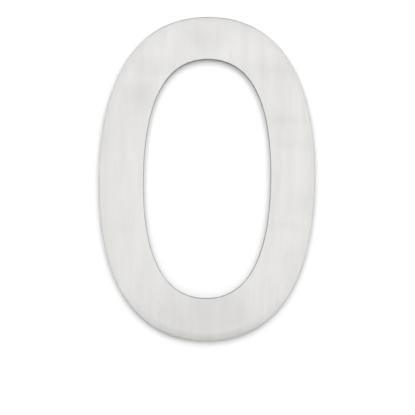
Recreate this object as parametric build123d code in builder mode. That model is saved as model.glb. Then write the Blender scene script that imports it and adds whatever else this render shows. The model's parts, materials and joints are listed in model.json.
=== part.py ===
"""House number 0: one flat numeral blanked from stainless plate and hung on two wall studs.

Millimetres. +X is the reader's right, +Y goes into the wall and +Z is up. The origin is the
middle of the numeral on its back face, which lies against the wall.
"""

import os
from math import atan2, hypot, tan

from build123d import *

# Outline of the numeral. A fullness is the length of a curve's handle as a share of the half
# size it runs along: 0.552 draws an ellipse, and a larger one fills the corners out.
NUMBER_WIDTH = 101.6
NUMBER_HEIGHT = 152.4
SIDE_STROKE = 20.7
END_STROKE = 19.8
OUTER_FULLNESS = 0.645
COUNTER_FULLNESS = 0.66

# Plate. Blanking draws the outer rim of the face down before it shears, and the brushing belt
# widens that. The face eases into a shallow slope over an arc that takes up a share of the
# slope's length, and the slope meets the sheared edge over a small radius.
PLATE_THICKNESS = 4.0
ROLL_WIDTH = 2.0
ROLL_DEPTH = 0.4
ROLL_EASE_SHARE = 0.75
RIM_RADIUS = 0.4
COUNTER_EDGE_RADIUS = 0.2

# M4 holes in the back, milled with a flat floor and tapped. The helical ridge of the thread is
# left off, so the threaded stretch has the thread's major radius.
THREAD_RADIUS = 2.0
THREAD_HEIGHT = 0.35
THREAD_RUNOUT = 0.6
MOUTH_CHAMFER = 0.25
METAL_BEHIND_FACE = 0.8

hole_depth = PLATE_THICKNESS - METAL_BEHIND_FACE
hole_pitch = NUMBER_HEIGHT - END_STROKE
counter_width = NUMBER_WIDTH - 2 * SIDE_STROKE
counter_height = NUMBER_HEIGHT - 2 * END_STROKE
sheared_height = PLATE_THICKNESS - ROLL_DEPTH
roll_slope = hypot(ROLL_WIDTH, ROLL_DEPTH)
roll_ease_radius = ROLL_EASE_SHARE * roll_slope / tan(atan2(ROLL_DEPTH, ROLL_WIDTH) / 2)

wall_side = Plane(origin=(0, 0, 0), x_dir=(1, 0, 0), z_dir=(0, 1, 0))


def draw_oval(width, height, fullness):
    """Draws a closed oval about the origin, one cubic curve to each quarter."""
    quarter = Bezier(
        (width / 2, 0),
        (width / 2, fullness * height / 2),
        (fullness * width / 2, height / 2),
        (0, height / 2),
    )
    mirror(quarter, about=Plane.YZ)
    mirror(about=Plane.XZ)


with BuildPart() as number_plate:
    # The blank's sheared edge stands square to the back
    with BuildSketch(Plane.XZ):
        with BuildLine():
            draw_oval(NUMBER_WIDTH, NUMBER_HEIGHT, OUTER_FULLNESS)
        make_face()
    extrude(amount=sheared_height)

    # Its roll-over slopes in from the top of the sheared edge to the face
    with BuildSketch(Plane.XZ.offset(sheared_height)):
        with BuildLine():
            draw_oval(NUMBER_WIDTH, NUMBER_HEIGHT, OUTER_FULLNESS)
        make_face()
    with BuildSketch(Plane.XZ.offset(PLATE_THICKNESS)):
        with BuildLine():
            draw_oval(NUMBER_WIDTH - 2 * ROLL_WIDTH, NUMBER_HEIGHT - 2 * ROLL_WIDTH, OUTER_FULLNESS)
        make_face()
    loft(ruled=True)

    # Counter, pierced square through the plate
    with BuildSketch(Plane.XZ):
        with BuildLine():
            draw_oval(counter_width, counter_height, COUNTER_FULLNESS)
        make_face()
    extrude(amount=PLATE_THICKNESS, mode=Mode.SUBTRACT)

    # Round the slope into the face and into the sheared edge, and take the burr off the counter.
    # The edges at the back stay as cut.
    brushed_face = number_plate.faces().sort_by(Axis.Y)[0]
    fillet(brushed_face.outer_wire().edges(), roll_ease_radius)
    sheared_edge = number_plate.faces().filter_by(GeomType.EXTRUSION).sort_by(SortBy.AREA)[-1]
    fillet(sheared_edge.edges().group_by(Axis.Y)[0], RIM_RADIUS)
    brushed_face = number_plate.faces().sort_by(Axis.Y)[0]
    fillet(brushed_face.inner_wires()[0].edges(), COUNTER_EDGE_RADIUS)

    # Blind tapped holes, one in the middle of the top stroke and one in the bottom stroke
    with Locations(wall_side):
        with GridLocations(0, hole_pitch, 1, 2):
            CounterBoreHole(
                radius=THREAD_RADIUS - THREAD_HEIGHT,
                counter_bore_radius=THREAD_RADIUS,
                counter_bore_depth=hole_depth - THREAD_RUNOUT,
                depth=hole_depth,
            )
    back_face = number_plate.faces().filter_by(GeomType.PLANE).sort_by(Axis.Y)[-1]
    chamfer(back_face.edges().filter_by(GeomType.CIRCLE), MOUTH_CHAMFER)

number_plate.part.label = "number_plate"

os.makedirs("parts", exist_ok=True)
export_step(number_plate.part, "parts/number_plate.step")
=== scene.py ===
"""House number 0 as photographed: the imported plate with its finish, the threads in its back, and
the white board, floor, light and camera of the photograph. Metres, in the part's own frame."""

import json
from math import pi, radians

import bpy
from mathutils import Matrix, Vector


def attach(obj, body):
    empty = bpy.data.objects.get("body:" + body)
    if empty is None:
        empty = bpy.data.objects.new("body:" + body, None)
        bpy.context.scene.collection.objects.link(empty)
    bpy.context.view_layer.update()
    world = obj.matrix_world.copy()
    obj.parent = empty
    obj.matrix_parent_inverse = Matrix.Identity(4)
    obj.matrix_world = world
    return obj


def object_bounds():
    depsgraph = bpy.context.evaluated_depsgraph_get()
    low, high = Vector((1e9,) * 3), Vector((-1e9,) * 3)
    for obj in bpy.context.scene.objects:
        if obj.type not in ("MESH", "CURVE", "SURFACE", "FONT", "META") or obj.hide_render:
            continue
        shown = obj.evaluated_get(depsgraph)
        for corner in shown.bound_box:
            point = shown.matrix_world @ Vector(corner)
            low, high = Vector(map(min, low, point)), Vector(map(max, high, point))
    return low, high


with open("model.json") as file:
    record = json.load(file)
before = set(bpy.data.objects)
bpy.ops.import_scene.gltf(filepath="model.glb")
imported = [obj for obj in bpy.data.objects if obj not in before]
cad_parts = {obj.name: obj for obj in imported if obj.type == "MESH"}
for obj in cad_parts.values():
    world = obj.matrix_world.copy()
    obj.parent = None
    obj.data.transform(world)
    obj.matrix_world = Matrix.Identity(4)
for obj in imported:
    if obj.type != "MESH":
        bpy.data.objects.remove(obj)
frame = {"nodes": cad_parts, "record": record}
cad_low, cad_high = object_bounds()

bpy.ops.object.select_all(action="DESELECT")


# Number plate
# One piece of 4 mm stainless plate, blanked to shape, with its face brushed up and down on a belt.
# The sheared edges and the mill-finished back are as they came. Two stud holes are milled flat and
# tapped from the back.

MM = 0.001
studs = next(m for m in frame["record"]["mounts"] if m["name"] == "stud_holes")
hole_top = studs["dims"]["spacing_y_mm"] / 2 * MM
thread_radius = studs["dims"]["hole_r_mm"] * MM


def linear(hex_code):
    """Turns an sRGB hex value into the linear RGBA that a colour socket takes."""
    channels = [int(hex_code[i : i + 2], 16) / 255 for i in (1, 3, 5)]
    return (*[c / 12.92 if c <= 0.04045 else ((c + 0.055) / 1.055) ** 2.4 for c in channels], 1)


def add_node(tree, kind, sockets, output=None, **settings):
    """Adds a node with its settings, values and links, and gives the named or first output."""
    node = tree.nodes.new(kind)
    for name, value in settings.items():
        setattr(node, name, value)
    for identifier, value in sockets.items():
        socket = next(s for s in node.inputs if s.identifier == identifier)
        if isinstance(value, bpy.types.NodeSocket):
            tree.links.new(value, socket)
        else:
            socket.default_value = value
    return node.outputs[output] if output else next((s for s in node.outputs if s.enabled), None)


def scatter_marks(tree, place, size, detail, roughness=0.5, shift=0):
    """Gives a random pattern from 0 to 1, whose marks have this size in millimetres."""
    scale = [1 / (side * MM) for side in size]
    sockets = {"Vector": place, "Location": [shift] * 3, "Scale": scale}
    mapped = add_node(tree, "ShaderNodeMapping", sockets)
    sockets = {"Vector": mapped, "Scale": 1, "Detail": detail, "Roughness": roughness}
    return add_node(tree, "ShaderNodeTexNoise", sockets)


def lay_over(tree, start, layers):
    """Gives the start with each layer added, times its share."""
    for layer, share in layers:
        sockets = {"Value": layer, "Value_001": share, "Value_002": start}
        start = add_node(tree, "ShaderNodeMath", sockets, operation="MULTIPLY_ADD")
    return start


brushed_steel = bpy.data.materials.new("brushed_304_stainless")
brushed_steel.use_nodes = True
steel = brushed_steel.node_tree
steel.nodes.clear()
place = add_node(steel, "ShaderNodeTexCoord", {}, "Object")
across = add_node(steel, "ShaderNodeSeparateXYZ", {"Vector": place}, "X")
depth = add_node(steel, "ShaderNodeSeparateXYZ", {"Vector": place}, "Y")
height = add_node(steel, "ShaderNodeSeparateXYZ", {"Vector": place}, "Z")

# The surface's own normal tells the face, which looks along -Y, from the edges and the back
FACE_STARTS, FACE_FULL = -0.2, -0.5
BACK_STARTS, BACK_FULL = 0.7, 0.9
normal = add_node(steel, "ShaderNodeTexCoord", {}, "Normal")
facing = add_node(steel, "ShaderNodeSeparateXYZ", {"Vector": normal}, "Y")
sockets = {"Value": facing, "From Min": FACE_STARTS, "From Max": FACE_FULL}
on_face = add_node(steel, "ShaderNodeMapRange", sockets)
sockets = {"Value": facing, "From Min": BACK_STARTS, "From Max": BACK_FULL}
on_back = add_node(steel, "ShaderNodeMapRange", sockets)

# Face: a 120 grit belt scratches it 0.1 mm wide. That is too fine to show, so the scratches are
# drawn 0.25 mm wide and their clumps 2.4 mm wide. Wider bands follow the belt, and clouds show
# where it pressed harder. Each mark's size is across, in depth and along the belt.
SCRATCH = (0.25, 0.25, 12)
CLUMP = (2.4, 2.4, 14)
BAND = (5, 5, 35)
BAND_SHIFT = 9
CLOUD = (14, 14, 20)
scratches = scatter_marks(steel, place, SCRATCH, detail=2, roughness=0.6)
clumps = scatter_marks(steel, place, CLUMP, detail=3, roughness=0.55)
bands = scatter_marks(steel, place, BAND, detail=2, shift=BAND_SHIFT)
clouds = scatter_marks(steel, place, CLOUD, detail=3)

# Patches that the belt left darker, or paler where the last value is below 0, and one wide patch
# of
# painted shade over the bottom stroke: the middle of each across and up and its reach across and
# up, in millimetres, and its darkening. Their outlines are bent by up to 4.5 mm each way, so that
# none is a plain oval.
CLOUDS_AND_PAINTED_SHADE = [
    (-32, 39, 12, 11, 0.40),
    (-28, 52, 17, 6, 0.22),
    (-3, 67, 15, 10, 0.30),
    (15, 61, 17, 9, -0.16),
    (33, 52, 15, 9, 0.28),
    (38, 29, 18, 4, 0.16),
    (38, 17, 18, 4, 0.14),
    (45, -9, 9, 12, 0.20),
    (38, -22, 14, 4, 0.16),
    (36, -27, 12, 14, -0.14),
    # Painted shade: this wide patch darkens the bottom stroke of the face
    (-3, -66, 54, 24, 0.50),
]
BEND = 4.5
BEND_LENGTH = 12 * MM
sockets = {"Vector": place, "Scale": 1 / BEND_LENGTH, "Detail": 2}
bend = add_node(steel, "ShaderNodeTexNoise", sockets, "Color")
sockets = {"Vector": bend, "Vector_001": [2 * BEND * MM] * 3, "Vector_002": place}
bent_place = add_node(steel, "ShaderNodeVectorMath", sockets, operation="MULTIPLY_ADD")
patches = []
for middle_across, middle_up, reach_across, reach_up, darkening in CLOUDS_AND_PAINTED_SHADE:
    middle = [-(middle_across + BEND) / reach_across, 0, -(middle_up + BEND) / reach_up]
    scale = [1 / (reach_across * MM), 0, 1 / (reach_up * MM)]
    sockets = {"Vector": bent_place, "Location": middle, "Scale": scale}
    mapped = add_node(steel, "ShaderNodeMapping", sockets)
    sockets = {"Vector": mapped}
    cone = add_node(steel, "ShaderNodeTexGradient", sockets, "Fac", gradient_type="SPHERICAL")
    sockets = {"Value": cone}
    patch = add_node(steel, "ShaderNodeMapRange", sockets, interpolation_type="SMOOTHSTEP")
    patches.append((patch, -darkening))

FACE_TONE = -0.715
FACE_ROUGHNESS = 0.27
layers = [(scratches, 0.5), (clumps, 0.6), (bands, 0.65), (clouds, 0.6), *patches]
tone = lay_over(steel, FACE_TONE, layers)
sockets = {"Factor_Float": tone, "A_Color": linear("#CAC9C7"), "B_Color": linear("#DFDEDC")}
face_colour = add_node(steel, "ShaderNodeMix", sockets, data_type="RGBA")
layers = [(scratches, 0.08), (clumps, 0.1), (clouds, 0.05)]
face_roughness = lay_over(steel, FACE_ROUGHNESS, layers)

# Sheared edges: the punch drags fine lines across a smooth band next to the face, and the metal
# breaks off grey and matt below it. The break wanders by a few tenths of a millimetre. The edge
# colours are partly the sheared metal's own grey and partly painted shade, darker than bare steel.
DRAG_LINE = (0.35, 7, 0.35)
CRUMB = (0.25, 0.25, 0.25)
WANDER = (2.5, 2.5, 2.5)
WANDER_REACH = 0.8 * MM
BREAK_STARTS, BREAK_FULL = -1.8 * MM, -1.4 * MM
EDGE_ROUGHNESS = 0.28
drag_lines = scatter_marks(steel, place, DRAG_LINE, detail=3, roughness=0.6)
crumbs = scatter_marks(steel, place, CRUMB, detail=2)
wander = scatter_marks(steel, place, WANDER, detail=3, roughness=0.6)
wandering_depth = lay_over(steel, depth, [(wander, WANDER_REACH)])
sockets = {"Value": wandering_depth, "From Min": BREAK_STARTS, "From Max": BREAK_FULL}
broken = add_node(steel, "ShaderNodeMapRange", sockets)
# Painted shade: both pairs of edge colours are set darker than bare sheared steel
sockets = {"Factor_Float": drag_lines, "A_Color": linear("#5A5856"), "B_Color": linear("#848280")}
smooth_band = add_node(steel, "ShaderNodeMix", sockets, data_type="RGBA")
sockets = {"Factor_Float": crumbs, "A_Color": linear("#52504E"), "B_Color": linear("#757370")}
matt_break = add_node(steel, "ShaderNodeMix", sockets, data_type="RGBA")
sockets = {"Factor_Float": broken, "A_Color": smooth_band, "B_Color": matt_break}
edge_colour_and_painted_shade = add_node(steel, "ShaderNodeMix", sockets, data_type="RGBA")
edge_roughness = lay_over(steel, EDGE_ROUGHNESS, [(drag_lines, 0.15), (broken, 0.2)])
sockets = {"Factor_Float": broken, "A_Float": drag_lines, "B_Float": crumbs}
edge_relief = add_node(steel, "ShaderNodeMix", sockets)

# Stud holes: the cutters leave bright rings round the walls and the chamfer, drawn 0.1 mm apart.
# Their finish reaches 0.3 mm past the thread, which takes in the chamfer.
RING = (1.2, 0.1, 1.2)
PAST_THREAD = 0.3 * MM
HOLE_ROUGHNESS = 0.28
off_middle = add_node(steel, "ShaderNodeMath", {"Value": height}, operation="ABSOLUTE")
sockets = {"X": across, "Y": 0, "Z": lay_over(steel, -hole_top, [(off_middle, 1)])}
from_axis = add_node(steel, "ShaderNodeCombineXYZ", sockets)
off_axis = add_node(steel, "ShaderNodeVectorMath", {"Vector": from_axis}, operation="LENGTH")
sockets = {"Value": off_axis, "Value_001": thread_radius + PAST_THREAD}
in_hole = add_node(steel, "ShaderNodeMath", sockets, operation="LESS_THAN")
rings = scatter_marks(steel, place, RING, detail=2)
sockets = {"Factor_Float": rings, "A_Color": linear("#8F8D89"), "B_Color": linear("#C4C2BE")}
hole_colour = add_node(steel, "ShaderNodeMix", sockets, data_type="RGBA")

# Back: the cold-rolled mill finish, smooth and grey, with faint rolling lines and water stains
ROLLING_LINE = (0.8, 0.8, 50)
STAIN = (12, 12, 15)
BACK_TONE = -0.35
BACK_ROUGHNESS = 0.22
rolling = scatter_marks(steel, place, ROLLING_LINE, detail=3, roughness=0.6)
stains = scatter_marks(steel, place, STAIN, detail=3)
back_tone = lay_over(steel, BACK_TONE, [(rolling, 0.6), (stains, 1.1)])
sockets = {"Factor_Float": back_tone, "A_Color": linear("#B4B3B0"), "B_Color": linear("#CDCCC9")}
back_colour = add_node(steel, "ShaderNodeMix", sockets, data_type="RGBA")
back_roughness = lay_over(steel, BACK_ROUGHNESS, [(rolling, 0.1), (stains, 0.12)])

# Each finish goes over the ones before it: the edges, then the holes, the back and the face
colour, roughness, relief = edge_colour_and_painted_shade, edge_roughness, edge_relief
for where, its_colour, its_roughness, its_relief in (
    (in_hole, hole_colour, HOLE_ROUGHNESS, rings),
    (on_back, back_colour, back_roughness, rolling),
    (on_face, face_colour, face_roughness, scratches),
):
    sockets = {"Factor_Float": where, "A_Color": colour, "B_Color": its_colour}
    colour = add_node(steel, "ShaderNodeMix", sockets, data_type="RGBA")
    sockets = {"Factor_Float": where, "A_Float": roughness, "B_Float": its_roughness}
    roughness = add_node(steel, "ShaderNodeMix", sockets)
    sockets = {"Factor_Float": where, "A_Float": relief, "B_Float": its_relief}
    relief = add_node(steel, "ShaderNodeMix", sockets)

# The marks are cut 0.02 mm deep, and spread a highlight at a right angle to the brushing
MARK_DEPTH = 0.02 * MM
sockets = {"Height": relief, "Strength": 0.4, "Distance": MARK_DEPTH}
scored = add_node(steel, "ShaderNodeBump", sockets)
round_z = add_node(steel, "ShaderNodeTangent", {}, direction_type="RADIAL", axis="Z")
sockets = {
    "Base Color": colour, "Metallic": 1, "Roughness": roughness, "Anisotropic": 0.5,
    "Normal": scored, "Tangent": round_z,
}
surface = add_node(steel, "ShaderNodeBsdfPrincipled", sockets)
add_node(steel, "ShaderNodeOutputMaterial", {"Surface": surface})

plate = frame["nodes"]["number_plate"]
for index in range(len(plate.data.materials)):
    plate.data.materials[index] = brushed_steel


# Threads
# M4 x 0.7 thread in each of the two blind holes in the back, cut with a tap into the plate's own
# metal. One ridge is modelled in the top hole and copied to the bottom one.

PITCH = 0.7 * MM
TURNS = 2.75
STEPS_TO_A_TURN = 32
RIDGE_HEIGHT = 0.35 * MM
RIDGE_FOOT = 0.58 * MM
RIDGE_CREST = 0.17 * MM
ROOT_IN_METAL = 0.05 * MM
FIRST_TURN_Y = -2.47 * MM
FADE_OUT = 1.22
FADE_LENGTH = 2.4 * MM
SHARP_FROM = radians(40)

# A tap leaves fine bright rings along its cut; they are drawn 0.08 mm apart
TAP_RING = (1.2, 0.08, 1.2)
TAP_ROUGHNESS = 0.2
tapped_steel = bpy.data.materials.new("tapped_304_stainless")
tapped_steel.use_nodes = True
tap = tapped_steel.node_tree
tap.nodes.clear()
place = add_node(tap, "ShaderNodeTexCoord", {}, "Object")
rings = scatter_marks(tap, place, TAP_RING, detail=2)
sockets = {"Factor_Float": rings, "A_Color": linear("#8F8D89"), "B_Color": linear("#C4C2BE")}
colour = add_node(tap, "ShaderNodeMix", sockets, data_type="RGBA")
roughness = lay_over(tap, TAP_ROUGHNESS, [(rings, 0.2)])
sockets = {"Base Color": colour, "Metallic": 1, "Roughness": roughness}
surface = add_node(tap, "ShaderNodeBsdfPrincipled", sockets)
add_node(tap, "ShaderNodeOutputMaterial", {"Surface": surface})


def select_vertices(mesh, wanted):
    """In edit mode, leaves selected only the vertices that pass the test."""
    bpy.ops.mesh.select_all(action="DESELECT")
    bpy.ops.object.mode_set(mode="OBJECT")
    for vertex in mesh.vertices:
        vertex.select = wanted(vertex)
    bpy.ops.object.mode_set(mode="EDIT")


# The ridge's section is a trapezoid with its foot in the wall of the hole
section_middle = (thread_radius + (ROOT_IN_METAL - RIDGE_HEIGHT) / 2, FIRST_TURN_Y, 0)
bpy.ops.mesh.primitive_plane_add(size=RIDGE_FOOT, location=section_middle)
bpy.ops.object.transform_apply()
ridge = bpy.context.object
ridge.name = "thread_top"
bpy.ops.object.mode_set(mode="EDIT")
bpy.ops.mesh.select_mode(type="VERT")
narrowing = (RIDGE_HEIGHT + ROOT_IN_METAL) / RIDGE_FOOT
bpy.ops.transform.resize(value=(narrowing, 1, 1), center_override=section_middle)
select_vertices(ridge.data, lambda vertex: vertex.co.x < section_middle[0])
narrowing = RIDGE_CREST / RIDGE_FOOT
bpy.ops.transform.resize(value=(1, narrowing, 1), center_override=section_middle)
bpy.ops.mesh.select_all(action="SELECT")
bpy.ops.mesh.delete(type="ONLY_FACE")
bpy.ops.object.mode_set(mode="OBJECT")
screw = ridge.modifiers.new("thread", "SCREW")
screw.axis = "Y"
screw.angle = 2 * pi * TURNS
screw.screw_offset = PITCH * TURNS
screw.steps = screw.render_steps = round(STEPS_TO_A_TURN * TURNS)
screw.use_smooth_shade = False
bpy.ops.object.modifier_apply(modifier=screw.name)
bpy.ops.object.mode_set(mode="EDIT")
bpy.ops.mesh.select_all(action="SELECT")
bpy.ops.mesh.fill_holes(sides=4)
bpy.ops.mesh.normals_make_consistent(inside=False)

# Each end of the ridge fades into the wall of the hole, as where the tap starts and stops
SECTION_CORNERS = 4
last_section = len(ridge.data.vertices) - SECTION_CORNERS
for on_end in (
    lambda vertex: vertex.index < SECTION_CORNERS,
    lambda vertex: vertex.index >= last_section,
):
    select_vertices(ridge.data, on_end)
    bpy.ops.transform.resize(
        value=(FADE_OUT, 1, FADE_OUT), center_override=(0, 0, 0), use_proportional_edit=True,
        proportional_edit_falloff="SMOOTH", proportional_size=FADE_LENGTH,
        use_proportional_connected=True,
    )
bpy.ops.object.mode_set(mode="OBJECT")
bpy.ops.object.shade_smooth_by_angle(angle=SHARP_FROM)
ridge.location = (0, 0, hole_top)
bpy.ops.object.transform_apply()
ridge.data.materials.append(tapped_steel)

bpy.ops.object.duplicate()
lower_ridge = bpy.context.object
lower_ridge.name = "thread_bottom"
lower_ridge.location = (0, 0, -2 * hole_top)
bpy.ops.object.transform_apply()

for thread in (ridge, lower_ridge):
    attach(thread, "root")


# Board and floor
# The number lies flat against a sheet of white board, over a white floor that is below the view.
# Both are matt and are seen from their front side only, so that they never hide the object.

BOARD_GAP = 0.05 * MM
STUD_CLEARANCE = 3.5 * MM
CUT_OUT_CORNERS = 64
FLOOR_HEIGHT = -0.8
SHEET_SIZE = 8
FIBRE = (2, 2, 2)
SEEING_RAYS = ["Is Camera Ray", "Is Glossy Ray", "Is Transmission Ray"]

# The glow rises between these distances from the middle of a sheet, and distance to the side
# counts three times. That leaves a dim strip below the number, which darkens its lower rim.
DIM_REACH, BRIGHT_REACH = 2, 3.2
SIDE_STRETCH = (3, 1, 1)
NEAR_SHARE = 0.125

# A ray this short comes from the plate's back, which is lit as if the board weren't there
SHORT_RAY = 0.5 * MM


def make_matt_white(name, darker, paler, far_glow):
    """Makes the material of a sheet that only its front shows, and that can glow, most far off."""
    material = bpy.data.materials.new(name)
    material.use_nodes = True
    tree = material.node_tree
    tree.nodes.clear()
    place = add_node(tree, "ShaderNodeTexCoord", {}, "Object")
    fibres = scatter_marks(tree, place, FIBRE, detail=2)
    sockets = {"Factor_Float": fibres, "A_Color": linear(darker), "B_Color": linear(paler)}
    white = add_node(tree, "ShaderNodeMix", sockets, data_type="RGBA")
    paint = add_node(tree, "ShaderNodeBsdfDiffuse", {"Color": white})
    sockets = {"Vector": place, "Vector_001": SIDE_STRETCH}
    stretched = add_node(tree, "ShaderNodeVectorMath", sockets, operation="MULTIPLY")
    distance = add_node(tree, "ShaderNodeVectorMath", {"Vector": stretched}, operation="LENGTH")
    sockets = {
        "Value": distance, "From Min": DIM_REACH, "From Max": BRIGHT_REACH,
        "To Min": NEAR_SHARE * far_glow, "To Max": far_glow,
    }
    lift = add_node(tree, "ShaderNodeMapRange", sockets)
    rays = [(add_node(tree, "ShaderNodeLightPath", {}, kind), lift) for kind in SEEING_RAYS]
    sockets = {"Color": white, "Strength": lay_over(tree, 0, rays)}
    glow = add_node(tree, "ShaderNodeEmission", sockets)
    front = add_node(tree, "ShaderNodeAddShader", {"Shader": paint, "Shader_001": glow})
    ray_length = add_node(tree, "ShaderNodeLightPath", {}, "Ray Length")
    sockets = {"Value": ray_length, "Value_001": SHORT_RAY}
    long_ray = add_node(tree, "ShaderNodeMath", sockets, operation="GREATER_THAN")
    behind = add_node(tree, "ShaderNodeNewGeometry", {}, "Backfacing")
    sockets = {"Value": long_ray, "Value_001": behind}
    seen = add_node(tree, "ShaderNodeMath", sockets, operation="SUBTRACT", use_clamp=True)
    clear = add_node(tree, "ShaderNodeBsdfTransparent", {})
    sockets = {"Fac": seen, "Shader": clear, "Shader_001": front}
    surface = add_node(tree, "ShaderNodeMixShader", sockets)
    add_node(tree, "ShaderNodeOutputMaterial", {"Surface": surface})
    return material


# The board is cut away behind each of the stud holes, where the number covers it
bpy.ops.object.select_all(action="DESELECT")
cut_outs = []
for middle in ((0, hole_top, 0), (0, -hole_top, 0)):
    bpy.ops.mesh.primitive_circle_add(
        vertices=CUT_OUT_CORNERS, radius=STUD_CLEARANCE, location=middle
    )
    cut_outs.append(bpy.context.object)
bpy.ops.mesh.primitive_plane_add(size=SHEET_SIZE)
backing = bpy.context.object
backing.name = "white_backing"
for outline in cut_outs:
    outline.select_set(True)
bpy.ops.object.join()
bpy.ops.object.mode_set(mode="EDIT")
bpy.ops.mesh.select_all(action="SELECT")
bpy.ops.mesh.delete(type="ONLY_FACE")
bpy.ops.mesh.select_all(action="SELECT")
bpy.ops.mesh.fill()
bpy.ops.object.mode_set(mode="OBJECT")
backing.location = (0, BOARD_GAP, 0)
backing.rotation_euler = (radians(90), 0, 0)
board_white = make_matt_white("matt_white_board", "#E5E5E5", "#E7E7E7", far_glow=0)
backing.data.materials.append(board_white)

bpy.ops.mesh.primitive_plane_add(size=SHEET_SIZE, location=(0, 0, FLOOR_HEIGHT))
floor = bpy.context.object
floor.name = "pale_floor"
floor_white = make_matt_white("matt_white_floor", "#F4F4F3", "#F6F6F5", far_glow=0.6)
floor.data.materials.append(floor_white)
for sheet in (backing, floor):
    bpy.ops.object.select_all(action="DESELECT")
    sheet.select_set(True)
    bpy.ops.object.transform_apply()
    sheet.visible_diffuse = False


# Light
# A white room, with a softbox in front that gives the steel its even tone. A second, a little
# higher, throws the soft shadow and is kept out of the reflections. The room is dark overhead.

def hang_softbox(name, place, width, height, radiance, in_reflections=True):
    """Hangs a rectangular lamp that faces the middle of the number."""
    light = bpy.data.lights.new(name, "AREA")
    light.shape = "RECTANGLE"
    light.size, light.size_y = width, height
    light.energy = radiance * pi * width * height
    lamp = bpy.data.objects.new(name, light)
    lamp.location = place
    lamp.rotation_euler = (-lamp.location).to_track_quat("-Z", "Y").to_euler()
    lamp.visible_camera = False
    lamp.visible_glossy = in_reflections
    bpy.context.scene.collection.objects.link(lamp)


hang_softbox("front_softbox", (0.03, -0.95, 0.12), 0.98, 1.06, radiance=0.32)
hang_softbox("shadow_softbox", (0.03, -0.94, 0.42), 1.3, 0.94, radiance=2.9, in_reflections=False)

# The room is full white to the rays that see it, and dimmer as a light. It turns dark where a
# heading's upward part passes these limits, which are higher to either side. So the dark part is
# narrow, and draws the line along the top of the number.
ROOM_LIGHT = 0.62
DARK_STARTS, DARK_FULL = 0.5, 0.6
DARK_LEVEL = 0.05
SIDE_NARROWING = -0.6
room = bpy.data.worlds.new("white_room")
room.use_nodes = True
bpy.context.scene.world = room
air = room.node_tree
air.nodes.clear()
heading = add_node(air, "ShaderNodeTexCoord", {}, "Generated")
upward = add_node(air, "ShaderNodeSeparateXYZ", {"Vector": heading}, "Z")
sideways = add_node(air, "ShaderNodeSeparateXYZ", {"Vector": heading}, "X")
off_to_side = add_node(air, "ShaderNodeMath", {"Value": sideways}, operation="ABSOLUTE")
overhead = lay_over(air, upward, [(off_to_side, SIDE_NARROWING)])
sockets = {
    "Value": overhead, "From Min": DARK_STARTS, "From Max": DARK_FULL,
    "To Min": 1, "To Max": DARK_LEVEL,
}
walls_and_ceiling = add_node(air, "ShaderNodeMapRange", sockets)
rays = [(add_node(air, "ShaderNodeLightPath", {}, kind), 1) for kind in SEEING_RAYS]
sockets = {
    "Factor_Float": lay_over(air, 0, rays), "A_Float": ROOM_LIGHT, "B_Float": walls_and_ceiling,
}
strength = add_node(air, "ShaderNodeMix", sockets)
sockets = {"Color": linear("#FFFFFF"), "Strength": strength}
surface = add_node(air, "ShaderNodeBackground", sockets)
add_node(air, "ShaderNodeOutputWorld", {"Surface": surface})


# Camera
# It looks at the face from 0.6 m, a little below and to the left of the number's middle. The
# photograph is turned 0.8 degrees, and its whole side takes in 195 mm of the face.

VIEW_DISTANCE = 0.6
VIEW_SIDE = 0.1952
OFF_TO_LEFT = -6.5 * MM
BELOW_MIDDLE = -13.5 * MM
TILT = radians(-0.8)
TURN_TO_NUMBER = radians(-0.655)
SENSOR = 36
NEAR_LIMIT = 0.01

camera_data = bpy.data.cameras.new("photo_camera")
camera_data.sensor_width = SENSOR
camera_data.lens = SENSOR * VIEW_DISTANCE / VIEW_SIDE
camera_data.clip_start = NEAR_LIMIT
camera = bpy.data.objects.new("photo_camera", camera_data)
camera.location = (OFF_TO_LEFT, cad_low.y - VIEW_DISTANCE, BELOW_MIDDLE)
camera.rotation_euler = (radians(90), TILT, TURN_TO_NUMBER)
bpy.context.scene.collection.objects.link(camera)
bpy.context.scene.camera = camera
bpy.context.scene.view_settings.view_transform = "Standard"
